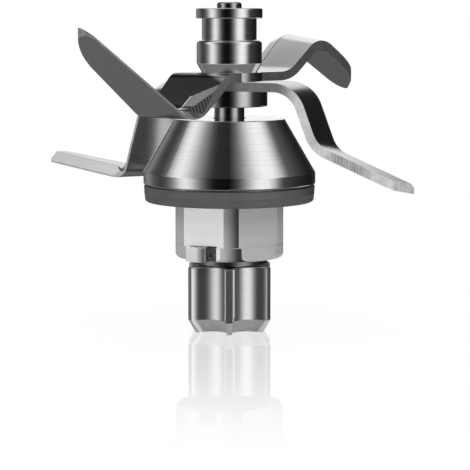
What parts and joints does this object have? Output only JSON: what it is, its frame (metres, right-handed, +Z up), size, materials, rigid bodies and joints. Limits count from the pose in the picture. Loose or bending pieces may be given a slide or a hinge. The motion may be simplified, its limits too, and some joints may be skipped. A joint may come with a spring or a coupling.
{
  "type": "food processor blade",
  "caption": "Mixing blade assembly of a food processor: bent cutting wings on a spinning shaft, held in a bearing housing with bayonet lugs and a rubber seal.",
  "frame": {"origin": "on the shaft's axis, at the foot of the drive coupling", "axes": "+Z up along the shaft, -Y towards the viewer of the picture, +X to the viewer's right"},
  "size_m": [0.1036, 0.0806, 0.0932],
  "materials": {
    "turned_steel": "turned",
    "blade_steel": "satin",
    "housing_steel": "milled",
    "coupling_steel": "polished",
    "bearing_steel": "polished",
    "black_rubber": "matte"
  },
  "bodies": {
    "housing": {"bearing_housing": "housing_steel", "cone_cover": "turned_steel", "seal_ring": "black_rubber", "cover_seal": "black_rubber", "shaft_seal": "black_rubber", "garter_spring": "bearing_steel", "outer_sleeve": "turned_steel", "retaining_ring": "bearing_steel", "lower_bearing_outer_race": "bearing_steel", "upper_bearing_outer_race": "bearing_steel"},
    "rotor": {"shaft": "turned_steel", "head_knob": "turned_steel", "spacer_collar": "turned_steel", "upper_blade": "blade_steel", "lower_blade": "blade_steel", "inner_sleeve": "turned_steel", "foot_washer": "housing_steel", "drive_coupling": "coupling_steel", "lower_bearing_inner_race": "bearing_steel", "upper_bearing_inner_race": "bearing_steel"},
    "lower_ball_set": {"lower_bearing_balls": "bearing_steel", "lower_bearing_cage": "bearing_steel"},
    "upper_ball_set": {"upper_bearing_balls": "bearing_steel", "upper_bearing_cage": "bearing_steel"}
  },
  "joints": [
    {"name": "shaft_spin", "type": "hinge", "parent": "housing", "child": "rotor", "pos_m": [0, 0, 0.037], "axis": [0, 0, 1], "continuous": true},
    {"name": "lower_ball_set_spin", "type": "hinge", "parent": "housing", "child": "lower_ball_set", "pos_m": [0, 0, 0.027], "axis": [0, 0, 1], "continuous": true},
    {"name": "upper_ball_set_spin", "type": "hinge", "parent": "housing", "child": "upper_ball_set", "pos_m": [0, 0, 0.047], "axis": [0, 0, 1], "continuous": true}
  ],
  "couplings": [
    {"joint": "lower_ball_set_spin", "follows": "shaft_spin", "ratio": 0.3567},
    {"joint": "upper_ball_set_spin", "follows": "shaft_spin", "ratio": 0.3567}
  ]
}
